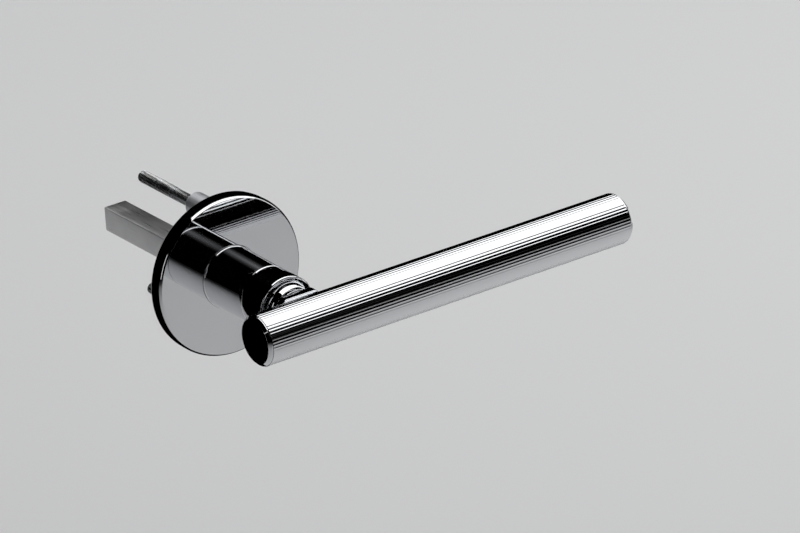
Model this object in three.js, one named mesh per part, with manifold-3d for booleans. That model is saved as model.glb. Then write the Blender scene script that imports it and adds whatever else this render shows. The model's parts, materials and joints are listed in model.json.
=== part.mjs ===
// Door lever handle on a round sprung rose, with a fluted round grip bar.
// Millimetres, +Z up. The origin is where the spindle's axis meets the face of the door. The door lies on
// the +Y side, the handle stands out towards -Y, and the grip bar reaches to the right, towards +X.
// "out" is the distance out of the door, so a point at out = 5 has y = -5.
import * as THREE from "three";
import { mergeVertices } from "three/addons/utils/BufferGeometryUtils.js";
import Module from "manifold-3d";

// ---- driving dimensions: the rose ----
const ROSE_RADIUS = 26;
const ROSE_HEIGHT = 5;
const ROSE_WALL = 1.1;
const ROSE_FACE = 1;
const ROSE_EDGE = 2.2;
const ROSE_EDGE_SWEEP = 52;
const ROSE_EDGE_STEPS = 6;
const ROSE_FOOT_GAP = 0.2;
const HOLE_EDGE = 0.15;
const PLATE_THICKNESS = 1.8;
const PLATE_RIM_HEIGHT = 3.3;
const PLATE_RIM_WIDTH = 1.5;
const PLATE_GAP = 0.4;
const SNAP_RING_RADIAL = 1.2;
const SNAP_RING_THICKNESS = 0.6;
const SNAP_RING_OPENING = 24;

// ---- the neck, from the rose out to the bar ----
const NECK_WALL = 1.55;
const NECK_TAPER = 0.15;
const NECK_LENGTH = 20.4;
const NECK_FLARE = 0.35;
const NECK_CHAMFER = 0.45;
const HEAD_LENGTH = 10.1;
const HEAD_EDGE = 0.6;
const COLLAR_FOOT_RADIUS = 8.35;
const COLLAR_FOOT = 0.5;
const COLLAR_WAIST_RADIUS = 6.5;
const COLLAR_WAIST_OUT = 2.8;
const COLLAR_END_RADIUS = 6.9;
const COLLAR_LENGTH = 4.5;
const SADDLE_WIDTH = 13.6;
const SADDLE_TALL = 13.2;
const SADDLE_CORNER = 2;
const SADDLE_WRAP = 1.6;

// ---- the grip bar ----
const BAR_RADIUS = 8.2;
const BAR_BORE_RADIUS = 6.6;
const BAR_LEFT = -20.5;
const BAR_RIGHT = 113.3;
const BAR_AXIS_OUT = 50.5;
const FLUTE_COUNT = 56;
const FLUTE_DEPTH = 0.08;
const CAP_RIM = 1.1;
const CAP_INSET = 0.2;
const CAP_EDGE = 0.9;
const CAP_PLUG = 6;
const CLAMP_HALF_LENGTH = 11;

// ---- what turns and what carries it ----
const SPINDLE_WIDTH = 8;
const SPINDLE_IN_DOOR = 60;
const JOURNAL_RADIUS = 7.4;
const JOURNAL_FLAT = 7.2;
const HUB_RADIUS = 8;
const HUB_REAR = 6.2;
const BUSH_WALL = 1.2;
const BUSH_REAR = 3.2;
const BUSH_FLANGE_WIDTH = 1;
const BUSH_FLANGE_THICKNESS = 0.8;
const WASHER_THICKNESS = 0.5;
const CIRCLIP_THICKNESS = 0.8;
const CIRCLIP_DEPTH = 0.7;
const CIRCLIP_OUTER = 8.8;
const CIRCLIP_OPENING = 56;
const DRIVER_WALL = 1.6;
const DRIVER_THICKNESS = 1.4;
const LUG_HALF_ANGLE = 11;
const TRAVEL = 40;
const PIN_RADIUS = 0.75;
const PIN_CLEAR = 0.75;
const LUG_PAST_PIN = 0.35;
const SPRING_CLEAR = 0.5;
const SPRING_STRIP = 0.5;
const SPRING_PITCH = 1;
const SPRING_TURNS = 2.1;
const SPRING_HEIGHT = 1.3;
const SPRING_TAIL_OVERLAP = 0.6;
const SPRING_TAIL_ANGLE = 5;
const ANCHOR_CLEAR = 0.35;

// ---- fasteners ----
const BOLT_SPACING = 38;
const BOLT_RADIUS = 2;
const BOLT_TIP = 0.5;
const BOLT_HEAD_RADIUS = 3.2;
const BOLT_HEAD_HEIGHT = 1.5;
const BOLT_SOCKET = 2.5;
const BOLT_SOCKET_DEPTH = 1.05;
const BOLT_IN_DOOR = 42;
const SLEEVE_RADIUS = 3.9;
const SLEEVE_IN_DOOR = 12;
const STEM_BOLT_RADIUS = 2.5;
const STEM_HEAD_RADIUS = 3.8;
const STEM_HEAD_HEIGHT = 4;
const STEM_SOCKET = 4;
const STEM_SOCKET_DEPTH = 2;
const DOWEL_RADIUS = 1.1;
const DOWEL_BITE = 6;
const DRIVE_DOWEL_OFFSET = 6.2;
const BAR_DOWEL_OFFSET = 4.9;
const BAR_DOWEL_BITE = 2.5;
const GRUB_RADIUS = 2.5;
const GRUB_LENGTH = 3.6;
const GRUB_SOCKET = 2.5;
const GRUB_SOCKET_DEPTH = 1.8;
const GRUB_OUT = 13;

// ---- clearances ----
const FIT = 0.3;
const SEAT = 0.2;
const STOP_GAP = 0.25;
const PAST = 1;

// ---- facets round a piece ----
const FINE = 56;
const SMALL = 24;
const TINY = 16;
const SPRING_STEPS = 40;
const CORNER_STEPS = 4;

// ---- places out of the door that follow ----
const faceInner = ROSE_HEIGHT - ROSE_FACE;
const driverFrom = PLATE_THICKNESS + FIT + SEAT;
const driverTo = driverFrom + DRIVER_THICKNESS;
const neckFrom = driverTo + SEAT;
const neckTo = ROSE_HEIGHT + NECK_LENGTH;
const hubTo = neckTo - SEAT;
const headFrom = neckTo + FIT;
const headTo = headFrom + HEAD_LENGTH;
const collarFrom = headTo + FIT;
const collarTo = collarFrom + COLLAR_LENGTH;
const saddleFrom = collarTo + FIT;
const saddleTo = BAR_AXIS_OUT - BAR_RADIUS + SADDLE_WRAP;
const stemHeadTo = headFrom - SEAT;
const stemHeadFrom = stemHeadTo - STEM_HEAD_HEIGHT;
const stemTip = BAR_AXIS_OUT + BAR_BORE_RADIUS / 2;
const spindleTo = stemHeadFrom - FIT;
const washerTo = -BUSH_REAR - SEAT;
const circlipTo = washerTo - WASHER_THICKNESS - SEAT;
const circlipFrom = circlipTo - CIRCLIP_THICKNESS;
const snapFrom = PLATE_THICKNESS - SNAP_RING_THICKNESS / 2;
const snapTo = snapFrom + SNAP_RING_THICKNESS;
const boltHeadFrom = PLATE_THICKNESS + SEAT;
const boltHeadTo = boltHeadFrom + BOLT_HEAD_HEIGHT;

// ---- radii, widths and angles that follow ----
const coverInner = ROSE_RADIUS - ROSE_WALL;
const plateRadius = coverInner - PLATE_GAP;
const snapInner = plateRadius - SNAP_RING_RADIAL / 2;
const snapOuter = plateRadius + SNAP_RING_RADIAL / 2;
const neckBore = HUB_RADIUS + FIT;
const neckRadius = neckBore + NECK_WALL;
const neckHole = neckRadius + FIT;
const neckFront = neckRadius - NECK_TAPER;
const bushInner = JOURNAL_RADIUS + FIT;
const bushOuter = bushInner + BUSH_WALL;
const flangeRadius = bushOuter + BUSH_FLANGE_WIDTH;
const driverRadius = neckBore + DRIVER_WALL;
const pinCircle = driverRadius + PIN_CLEAR + PIN_RADIUS;
const lugRadius = pinCircle + PIN_RADIUS + LUG_PAST_PIN;
const springInner = lugRadius + SPRING_CLEAR;
const springOuter = springInner + SPRING_PITCH * SPRING_TURNS + SPRING_STRIP;
const anchorCircle = springOuter + ANCHOR_CLEAR + PIN_RADIUS;
const squareBore = SPINDLE_WIDTH + 2 * FIT;
const circlipGroove = JOURNAL_RADIUS - CIRCLIP_DEPTH;
const plugRadius = BAR_BORE_RADIUS - FIT;
const capRadius = BAR_RADIUS - CAP_INSET;
const lugAngle = 180;
const pinContact = LUG_HALF_ANGLE + THREE.MathUtils.radToDeg((PIN_RADIUS + STOP_GAP) / pinCircle);
const springStart = lugAngle - LUG_HALF_ANGLE - SPRING_TAIL_ANGLE;
const springEnd = springStart + 360 * SPRING_TURNS;

// ---- geometry helpers ----
const wasm = await Module();
wasm.setup();

function polar(radius, degrees) {
  const angle = THREE.MathUtils.degToRad(degrees);
  return [radius * Math.cos(angle), radius * Math.sin(angle)];
}

function arc(radius, fromDegrees, toDegrees, steps, centre = [0, 0]) {
  const points = [];
  for (let i = 0; i <= steps; i++) {
    const [x, y] = polar(radius, fromDegrees + ((toDegrees - fromDegrees) * i) / steps);
    points.push([centre[0] + x, centre[1] + y]);
  }
  return points;
}

function areaOf(points) {
  let sum = 0;
  points.forEach(([x, y], i) => {
    const [nextX, nextY] = points[(i + 1) % points.length];
    sum += x * nextY - nextX * y;
  });
  return sum / 2;
}

// A piece turned about the spindle's axis, from a closed outline of [radius, out]. An outline that touches
// the axis starts and ends on it.
function turned(outline, segments = FINE) {
  const points = outline.map(([radius, out]) => new THREE.Vector2(radius, -out));
  if (areaOf(outline) > 0) points.reverse();
  if (outline[0][0] > 0) points.push(points[0]);
  return new THREE.LatheGeometry(points, segments);
}

// The same about an axis along X, from [radius, x].
function turnedAlongX(outline, segments) {
  return turned(outline.map(([radius, x]) => [radius, -x]), segments).rotateZ(-Math.PI / 2);
}

function disc(radius, from, to, [x, z] = [0, 0], segments = SMALL) {
  return turned([[0, from], [radius, from], [radius, to], [0, to]], segments).translate(x, 0, z);
}

function tube(inner, outer, from, to, segments = FINE) {
  return turned([[inner, from], [outer, from], [outer, to], [inner, to]], segments);
}

function shapeOf(points) {
  return new THREE.Shape(points.map(([x, y]) => new THREE.Vector2(x, y)));
}

function rectangle(width, tall, corner = 0) {
  const x = width / 2 - corner;
  const y = tall / 2 - corner;
  if (corner === 0) return shapeOf([[-x, -y], [x, -y], [x, y], [-x, y]]);
  const corners = [[x, y], [-x, y], [-x, -y], [x, -y]];
  return shapeOf(corners.flatMap((centre, i) => {
    return arc(corner, 90 * i, 90 * (i + 1), CORNER_STEPS, centre);
  }));
}

function hexagon(acrossFlats) {
  return shapeOf(arc(acrossFlats / Math.sqrt(3), 0, 300, 5));
}

function openRing(inner, outer, opening) {
  const from = 270 + opening / 2;
  const to = 630 - opening / 2;
  return shapeOf([...arc(outer, from, to, FINE), ...arc(inner, to, from, FINE)]);
}

// An outline in X and Z, carried out of the door from one distance to another.
function prism(shape, from, to) {
  const geometry = new THREE.ExtrudeGeometry(shape, { depth: to - from, bevelEnabled: false });
  return geometry.rotateX(Math.PI / 2).translate(0, -from, 0);
}

function solidOf(geometry) {
  const bare = geometry.clone();
  bare.deleteAttribute("normal");
  bare.deleteAttribute("uv");
  const merged = mergeVertices(bare, 1e-4);
  const vertProperties = merged.attributes.position.array;
  const triVerts = new Uint32Array(merged.index.array);
  return new wasm.Manifold(new wasm.Mesh({ numProp: 3, vertProperties, triVerts }));
}

// The body with each of the tools cut out of it.
function cut(body, ...tools) {
  const mesh = tools.reduce((solid, tool) => solid.subtract(solidOf(tool)), solidOf(body)).getMesh();
  const geometry = new THREE.BufferGeometry();
  geometry.setAttribute("position", new THREE.BufferAttribute(mesh.vertProperties, 3));
  geometry.setIndex(new THREE.BufferAttribute(mesh.triVerts, 1));
  geometry.computeVertexNormals();
  return geometry;
}

// ---- finishes ----
const FINISHES = {
  chrome: { color: 0xd9dbe0, metalness: 1, roughness: 0.05 },
  steel: { color: 0xa9abae, metalness: 1, roughness: 0.35 },
  zinc: { color: 0xb9bcc0, metalness: 0.9, roughness: 0.45 },
  spring: { color: 0x6f7276, metalness: 1, roughness: 0.3 },
  polymer: { color: 0xe9e7df, metalness: 0, roughness: 0.5 },
  blackened: { color: 0x26272a, metalness: 0.8, roughness: 0.4 },
};

function add(group, name, finish, geometry) {
  const mesh = new THREE.Mesh(geometry, new THREE.MeshStandardMaterial(FINISHES[finish]));
  mesh.name = name;
  group.add(mesh);
  return mesh;
}

// ---- the rose, which the two fixing bolts hold to the door ----
const pinPlaces = {
  rest_stop_pin: polar(pinCircle, lugAngle + pinContact),
  travel_stop_pin: polar(pinCircle, lugAngle - TRAVEL - pinContact),
  spring_anchor_pin: polar(anchorCircle, springEnd - SPRING_TAIL_ANGLE),
};

const boltPlaces = {
  upper: [0, BOLT_SPACING / 2],
  lower: [0, -BOLT_SPACING / 2],
};

function basePlate() {
  const grooveRadius = snapInner - SEAT;
  const recessTo = BUSH_FLANGE_THICKNESS + FIT;
  const plate = turned([
    [flangeRadius + FIT, 0],
    [plateRadius, 0],
    [plateRadius, snapFrom - SEAT],
    [grooveRadius, snapFrom - SEAT],
    [grooveRadius, snapTo + SEAT],
    [plateRadius, snapTo + SEAT],
    [plateRadius, PLATE_RIM_HEIGHT],
    [plateRadius - PLATE_RIM_WIDTH, PLATE_RIM_HEIGHT],
    [plateRadius - PLATE_RIM_WIDTH, PLATE_THICKNESS],
    [bushOuter + FIT, PLATE_THICKNESS],
    [bushOuter + FIT, recessTo],
    [flangeRadius + FIT, recessTo],
  ]);
  const sleeveHoles = Object.values(boltPlaces).map((place) => {
    return disc(SLEEVE_RADIUS + FIT, -PAST, PLATE_THICKNESS + PAST, place);
  });
  const pinHoles = Object.values(pinPlaces).map((place) => {
    return disc(PIN_RADIUS + FIT, -PAST, PLATE_THICKNESS + PAST, place, TINY);
  });
  return cut(plate, ...sleeveHoles, ...pinHoles);
}

function roseCover() {
  const grooveRadius = snapOuter + SEAT;
  const [, edgeRise] = polar(ROSE_EDGE, ROSE_EDGE_SWEEP);
  const edgeCentre = [ROSE_RADIUS - ROSE_EDGE, ROSE_HEIGHT - edgeRise];
  return turned([
    [coverInner, ROSE_FOOT_GAP],
    [ROSE_RADIUS, ROSE_FOOT_GAP],
    ...arc(ROSE_EDGE, 0, ROSE_EDGE_SWEEP, ROSE_EDGE_STEPS, edgeCentre),
    [neckHole + HOLE_EDGE, ROSE_HEIGHT],
    [neckHole, ROSE_HEIGHT - HOLE_EDGE],
    [neckHole, faceInner],
    [coverInner, faceInner],
    [coverInner, snapTo + FIT],
    [grooveRadius, snapTo + FIT],
    [grooveRadius, snapFrom - FIT],
    [coverInner, snapFrom - FIT],
  ]);
}

function bearingBush() {
  return turned([
    [bushInner, -BUSH_REAR],
    [bushOuter, -BUSH_REAR],
    [bushOuter, 0],
    [flangeRadius, 0],
    [flangeRadius, BUSH_FLANGE_THICKNESS],
    [bushOuter, BUSH_FLANGE_THICKNESS],
    [bushOuter, PLATE_THICKNESS],
    [bushInner, PLATE_THICKNESS],
  ]);
}

// A flat spiral round the driver. Its inner tail stands in front of the driver's lug and its outer tail is
// held by the anchor pin, so pressing the lever winds it up.
function returnSpring() {
  const steps = Math.round(SPRING_STEPS * SPRING_TURNS);
  const tailAngle = THREE.MathUtils.radToDeg(SPRING_STRIP / springInner);
  const endRadius = springInner + SPRING_PITCH * SPRING_TURNS;
  const innerTail = lugRadius - SPRING_TAIL_OVERLAP;
  const outerTail = anchorCircle + PIN_RADIUS;
  const outerEdge = [];
  const innerEdge = [];
  for (let i = 1; i < steps; i++) {
    const share = i / steps;
    const degrees = springStart + (springEnd - springStart) * share;
    const radius = springInner + (endRadius - springInner) * share;
    outerEdge.push(polar(radius + SPRING_STRIP, degrees));
    innerEdge.unshift(polar(radius, degrees));
  }
  const outline = shapeOf([
    polar(innerTail, springStart),
    polar(springInner + SPRING_STRIP, springStart),
    ...outerEdge,
    polar(endRadius + SPRING_STRIP, springEnd - tailAngle),
    polar(outerTail, springEnd - tailAngle),
    polar(outerTail, springEnd),
    polar(endRadius, springEnd),
    ...innerEdge,
    polar(springInner, springStart + tailAngle),
    polar(innerTail, springStart + tailAngle),
  ]);
  return prism(outline, driverFrom, driverFrom + SPRING_HEIGHT);
}

function fixingBolt() {
  const bolt = turned([
    [0, -BOLT_IN_DOOR],
    [BOLT_RADIUS - BOLT_TIP, -BOLT_IN_DOOR],
    [BOLT_RADIUS, BOLT_TIP - BOLT_IN_DOOR],
    [BOLT_RADIUS, boltHeadFrom],
    [BOLT_HEAD_RADIUS, boltHeadFrom],
    [BOLT_HEAD_RADIUS, boltHeadTo - BOLT_TIP],
    [BOLT_HEAD_RADIUS - BOLT_TIP, boltHeadTo],
    [0, boltHeadTo],
  ], SMALL);
  return cut(bolt, prism(hexagon(BOLT_SOCKET), boltHeadTo - BOLT_SOCKET_DEPTH, boltHeadTo + PAST));
}

const snapRing = openRing(snapInner, snapOuter, SNAP_RING_OPENING);
const rose = new THREE.Group();
add(rose, "base_plate", "zinc", basePlate());
add(rose, "rose_cover", "chrome", roseCover());
add(rose, "snap_ring", "spring", prism(snapRing, snapFrom, snapTo));
add(rose, "bearing_bush", "polymer", bearingBush());
add(rose, "thrust_washer", "steel", tube(bushInner, bushOuter, washerTo - WASHER_THICKNESS, washerTo));
add(rose, "return_spring", "spring", returnSpring());
Object.entries(pinPlaces).forEach(([name, place]) => {
  add(rose, name, "steel", disc(PIN_RADIUS, SEAT, driverTo, place, TINY));
});
Object.entries(boltPlaces).forEach(([name, [, z]]) => {
  const sleeve = tube(BOLT_RADIUS + FIT, SLEEVE_RADIUS, -SLEEVE_IN_DOOR, PLATE_THICKNESS, SMALL);
  add(rose, `support_sleeve_${name}`, "zinc", sleeve).position.z = z;
  add(rose, `fixing_bolt_${name}`, "steel", fixingBolt()).position.z = z;
});

// ---- the lever, which turns about the spindle's axis ----
const drivePlaces = { left: [-DRIVE_DOWEL_OFFSET, 0], right: [DRIVE_DOWEL_OFFSET, 0] };
const barDowelPlace = [BAR_DOWEL_OFFSET, 0];
const driveDowelFrom = neckTo - DOWEL_BITE;
const driveDowelTo = neckTo + DOWEL_BITE;
const barDowelFrom = headTo - BAR_DOWEL_BITE;
const barDowelTo = BAR_AXIS_OUT - BAR_BORE_RADIUS / 2;

function stemBore(from, to) {
  return disc(STEM_BOLT_RADIUS + FIT, from - PAST, to + PAST);
}

function driveDowelBores() {
  return Object.values(drivePlaces).map((place) => {
    return disc(DOWEL_RADIUS + FIT, driveDowelFrom - FIT, driveDowelTo + FIT, place, TINY);
  });
}

function barDowelBore() {
  return disc(DOWEL_RADIUS + FIT, barDowelFrom - FIT, barDowelTo + FIT, barDowelPlace, TINY);
}

// The way in for the grub screw, from below to the middle of the spindle.
function grubBore() {
  return disc(GRUB_RADIUS + FIT, 0, neckRadius + PAST).rotateX(Math.PI / 2).translate(0, -GRUB_OUT, 0);
}

// The space that the bar fills, grown by the fit.
function barSeat() {
  const radius = BAR_RADIUS + FIT;
  const bar = turnedAlongX([[0, BAR_LEFT], [radius, BAR_LEFT], [radius, BAR_RIGHT], [0, BAR_RIGHT]], FINE);
  return bar.translate(0, -BAR_AXIS_OUT, 0);
}

function spindleHub() {
  const body = turned([
    [0, -HUB_REAR],
    [JOURNAL_RADIUS, -HUB_REAR],
    [JOURNAL_RADIUS, circlipFrom - SEAT],
    [circlipGroove, circlipFrom - SEAT],
    [circlipGroove, circlipTo + SEAT],
    [JOURNAL_RADIUS, circlipTo + SEAT],
    [JOURNAL_RADIUS, driverFrom],
    [HUB_RADIUS, driverFrom],
    [HUB_RADIUS, hubTo],
    [0, hubTo],
  ]);
  const flatCuts = [1, -1].map((side) => {
    const block = prism(rectangle(HUB_RADIUS, 2 * HUB_RADIUS), driverFrom - FIT, driverTo + SEAT / 2);
    return block.translate(side * (JOURNAL_FLAT + HUB_RADIUS / 2), 0, 0);
  });
  const bore = prism(rectangle(squareBore, squareBore), -HUB_REAR - PAST, hubTo + PAST);
  const headWay = disc(STEM_HEAD_RADIUS + FIT, stemHeadFrom - FIT, hubTo + PAST);
  return cut(body, bore, headWay, ...flatCuts, ...driveDowelBores(), grubBore());
}

// A ring with a stop lug, keyed to the hub's two flats.
function driverRing() {
  const clear = 360 - 2 * LUG_HALF_ANGLE;
  const lugEnd = lugAngle + LUG_HALF_ANGLE;
  const outline = shapeOf([
    ...arc(driverRadius, lugEnd, lugEnd + clear, FINE),
    ...arc(lugRadius, lugEnd + clear, lugEnd + 360, CORNER_STEPS),
  ]);
  const keyAngle = THREE.MathUtils.radToDeg(Math.acos((JOURNAL_FLAT + FIT) / neckBore));
  const bore = shapeOf([
    ...arc(neckBore, keyAngle, 180 - keyAngle, SMALL),
    ...arc(neckBore, 180 + keyAngle, 360 - keyAngle, SMALL),
  ]);
  outline.holes.push(bore);
  return prism(outline, driverFrom, driverTo);
}

function neckSleeve() {
  const flareFrom = ROSE_HEIGHT + SEAT;
  const flareCentre = [neckRadius + NECK_FLARE, flareFrom + NECK_FLARE];
  const sleeve = turned([
    [neckBore, neckFrom],
    [neckRadius, neckFrom],
    [neckRadius, flareFrom],
    ...arc(NECK_FLARE, 270, 180, CORNER_STEPS, flareCentre),
    [neckFront, neckTo - NECK_CHAMFER],
    [neckFront - NECK_CHAMFER, neckTo],
    [neckBore, neckTo],
  ]);
  return cut(sleeve, grubBore());
}

function grubScrew() {
  const inner = SPINDLE_WIDTH / 2 + FIT;
  const outer = inner + GRUB_LENGTH;
  const socket = prism(hexagon(GRUB_SOCKET), outer - GRUB_SOCKET_DEPTH, outer + PAST);
  const screw = cut(disc(GRUB_RADIUS, inner, outer), socket);
  return screw.rotateX(Math.PI / 2).translate(0, -GRUB_OUT, 0);
}

function neckHead() {
  const head = turned([
    [0, headFrom],
    [neckFront, headFrom],
    ...arc(HEAD_EDGE, 0, 90, CORNER_STEPS, [neckFront - HEAD_EDGE, headTo - HEAD_EDGE]),
    [0, headTo],
  ]);
  return cut(head, stemBore(headFrom, headTo), ...driveDowelBores(), barDowelBore());
}

// The collar flares onto the head, narrows to a waist and steps out again to meet the saddle.
function stemCollar() {
  const flareTo = collarFrom + COLLAR_WAIST_OUT;
  const flareFrom = collarFrom + COLLAR_FOOT;
  const flareWide = COLLAR_FOOT_RADIUS - COLLAR_WAIST_RADIUS;
  const flare = arc(1, 270, 180, CORNER_STEPS + 1).map(([x, y]) => {
    return [COLLAR_FOOT_RADIUS + flareWide * x, flareTo + (flareTo - flareFrom) * y];
  });
  const collar = turned([
    [0, collarFrom],
    [COLLAR_FOOT_RADIUS, collarFrom],
    ...flare,
    [COLLAR_END_RADIUS, flareTo + SEAT],
    [COLLAR_END_RADIUS, collarTo],
    [0, collarTo],
  ]);
  return cut(collar, stemBore(collarFrom, collarTo), barDowelBore());
}

function saddleBlock() {
  const block = prism(rectangle(SADDLE_WIDTH, SADDLE_TALL, SADDLE_CORNER), saddleFrom, saddleTo);
  return cut(block, barSeat(), stemBore(saddleFrom, saddleTo), barDowelBore());
}

function stemBolt() {
  const bolt = turned([
    [0, stemHeadFrom],
    [STEM_HEAD_RADIUS, stemHeadFrom],
    [STEM_HEAD_RADIUS, stemHeadTo],
    [STEM_BOLT_RADIUS, stemHeadTo],
    [STEM_BOLT_RADIUS, stemTip - BOLT_TIP],
    [STEM_BOLT_RADIUS - BOLT_TIP, stemTip],
    [0, stemTip],
  ], SMALL);
  return cut(bolt, prism(hexagon(STEM_SOCKET), stemHeadFrom - PAST, stemHeadFrom + STEM_SOCKET_DEPTH));
}

function gripBar() {
  const pitch = 360 / FLUTE_COUNT;
  const flutes = [];
  for (let i = 0; i < FLUTE_COUNT; i++) {
    flutes.push(polar(BAR_RADIUS, pitch * i), polar(BAR_RADIUS - FLUTE_DEPTH, pitch * (i + 0.5)));
  }
  const outline = shapeOf(flutes);
  outline.holes.push(shapeOf(arc(BAR_BORE_RADIUS, 0, 360 - 360 / FINE, FINE - 1)));
  const bar = new THREE.ExtrudeGeometry(outline, { depth: BAR_RIGHT - BAR_LEFT, bevelEnabled: false });
  bar.rotateY(Math.PI / 2).translate(BAR_LEFT, -BAR_AXIS_OUT, 0);
  return cut(bar, stemBore(BAR_AXIS_OUT - BAR_RADIUS, BAR_AXIS_OUT - PAST), barDowelBore());
}

function clampBlock() {
  const half = CLAMP_HALF_LENGTH;
  const block = turnedAlongX([[0, -half], [plugRadius, -half], [plugRadius, half], [0, half]], FINE);
  const bore = stemBore(BAR_AXIS_OUT - BAR_RADIUS, BAR_AXIS_OUT + BAR_RADIUS);
  return cut(block.translate(0, -BAR_AXIS_OUT, 0), bore, barDowelBore());
}

// A cap for the bar's end at the given x, with its plug towards the other end.
function endCap(end, side) {
  const rimFrom = end + side * SEAT;
  const rimTo = rimFrom + side * CAP_RIM;
  const cap = turnedAlongX([
    [0, rimFrom - side * CAP_PLUG],
    [plugRadius, rimFrom - side * CAP_PLUG],
    [plugRadius, rimFrom],
    [capRadius, rimFrom],
    [capRadius, rimTo - side * CAP_EDGE],
    [capRadius - CAP_EDGE, rimTo],
    [0, rimTo],
  ], FINE);
  return cap.translate(0, -BAR_AXIS_OUT, 0);
}

const lever = new THREE.Group();
const circlip = openRing(circlipGroove + FIT, CIRCLIP_OUTER, CIRCLIP_OPENING);
add(lever, "spindle_hub", "steel", spindleHub());
add(lever, "driver_ring", "steel", driverRing());
add(lever, "retaining_circlip", "blackened", prism(circlip, circlipFrom, circlipTo));
add(lever, "neck_sleeve", "chrome", neckSleeve());
add(lever, "grub_screw", "blackened", grubScrew());
add(lever, "spindle", "steel", prism(rectangle(SPINDLE_WIDTH, SPINDLE_WIDTH), -SPINDLE_IN_DOOR, spindleTo));
add(lever, "neck_head", "chrome", neckHead());
Object.entries(drivePlaces).forEach(([name, place]) => {
  add(lever, `drive_dowel_${name}`, "steel", disc(DOWEL_RADIUS, driveDowelFrom, driveDowelTo, place, TINY));
});
add(lever, "stem_bolt", "blackened", stemBolt());
add(lever, "stem_collar", "chrome", stemCollar());
add(lever, "saddle_block", "chrome", saddleBlock());
add(lever, "bar_dowel", "steel", disc(DOWEL_RADIUS, barDowelFrom, barDowelTo, barDowelPlace, TINY));
add(lever, "grip_bar", "chrome", gripBar());
add(lever, "clamp_block", "zinc", clampBlock());
add(lever, "end_cap_left", "chrome", endCap(BAR_LEFT, -1));
add(lever, "end_cap_right", "chrome", endCap(BAR_RIGHT, 1));

const handle = new THREE.Group();
handle.add(rose, lever);
export default handle;
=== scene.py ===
"""A door lever handle on a round sprung rose: its fine meshes, finishes, studio and camera.

Everything is in metres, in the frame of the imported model. The spindle lies along +Y into the
door, the grip bar reaches along +X, and +Z is up. "Out" is the distance out of the door, so a
point at out = 0.005 has y = -0.005.
"""

import json
import logging
import math
from dataclasses import dataclass, field
from enum import Enum
from typing import Iterable, Sequence

import bmesh
import bpy
from mathutils import Matrix, Vector


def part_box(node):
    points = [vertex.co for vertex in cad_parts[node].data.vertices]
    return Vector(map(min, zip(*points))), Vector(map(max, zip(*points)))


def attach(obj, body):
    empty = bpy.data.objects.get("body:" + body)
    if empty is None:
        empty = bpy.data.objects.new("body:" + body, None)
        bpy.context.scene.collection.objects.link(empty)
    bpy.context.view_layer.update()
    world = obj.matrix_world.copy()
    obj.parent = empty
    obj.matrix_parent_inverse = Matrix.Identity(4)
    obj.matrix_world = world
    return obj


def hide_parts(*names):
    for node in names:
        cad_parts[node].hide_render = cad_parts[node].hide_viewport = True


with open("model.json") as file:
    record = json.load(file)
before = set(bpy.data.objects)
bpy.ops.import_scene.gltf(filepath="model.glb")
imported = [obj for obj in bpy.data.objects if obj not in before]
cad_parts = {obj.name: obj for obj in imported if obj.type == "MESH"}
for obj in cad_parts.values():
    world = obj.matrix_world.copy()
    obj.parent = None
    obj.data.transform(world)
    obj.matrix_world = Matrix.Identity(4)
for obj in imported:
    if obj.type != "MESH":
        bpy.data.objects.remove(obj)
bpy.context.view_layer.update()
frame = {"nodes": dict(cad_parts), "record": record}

LOG = logging.getLogger("lever_handle")
MM = 0.001
FIT = 0.3 * MM
SEAT = 0.2 * MM
FINE_EDGE = 0.12 * MM
PAST = 1 * MM
TINY = 1e-6
ON_AXIS = 1e-9
SAME_POINT = 1e-8
SLEEVES = ("support_sleeve_upper", "support_sleeve_lower")
PINS = ("rest_stop_pin", "travel_stop_pin", "spring_anchor_pin")
DRIVE_DOWELS = ("drive_dowel_left", "drive_dowel_right")


# ---- what the frame says ----


@dataclass(frozen=True)
class Extent:
    """How far one node of the frame reaches."""

    low: Vector
    high: Vector

    @classmethod
    def of(cls, node: str) -> "Extent":
        """The extent of the named node."""
        return cls(*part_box(node))

    @property
    def inner(self) -> float:
        """The distance out of the door at which the node begins."""
        return -self.high.y

    @property
    def outer(self) -> float:
        """The distance out of the door at which the node ends."""
        return -self.low.y

    @property
    def radius(self) -> float:
        """Half of the node's height."""
        return (self.high.z - self.low.z) / 2

    @property
    def centre(self) -> Vector:
        """The middle of the node."""
        return (self.low + self.high) / 2


# ---- turned outlines ----


@dataclass(frozen=True)
class Corner:
    """A corner of a turned outline."""

    radius: float
    along: float
    rounding: float = 0.0


class Axis(Enum):
    """The line that a piece is turned about."""

    SPINDLE = "spindle"
    BAR = "bar"


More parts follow.
